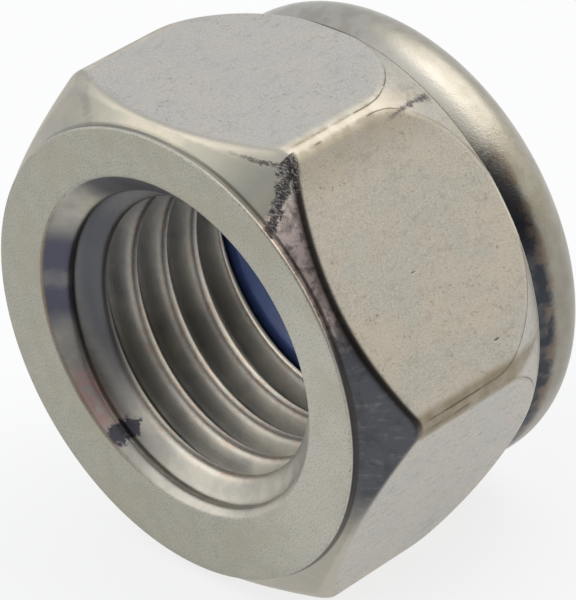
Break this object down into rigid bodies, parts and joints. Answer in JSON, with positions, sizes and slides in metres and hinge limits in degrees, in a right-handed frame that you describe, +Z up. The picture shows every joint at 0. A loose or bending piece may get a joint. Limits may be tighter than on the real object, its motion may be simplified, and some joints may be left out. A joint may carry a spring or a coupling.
{
  "type": "nylon insert lock nut",
  "caption": "Hexagon lock nut with a rolled collar that holds a blue nylon ring behind its coarse metric thread.",
  "frame": {"origin": "centre of the bearing face, on the thread axis", "axes": "+Y along the thread axis from the bearing face to the collar; +Z up, square to a level flat of the hexagon; X across two corners"},
  "size_m": [0.0274, 0.016, 0.024],
  "materials": {
    "stainless_steel": "satin, cold-formed and tumbled",
    "blue_nylon": "smooth moulded"
  },
  "bodies": {
    "root": {"nut_body": "stainless_steel", "nylon_ring": "blue_nylon"}
  },
  "joints": []
}
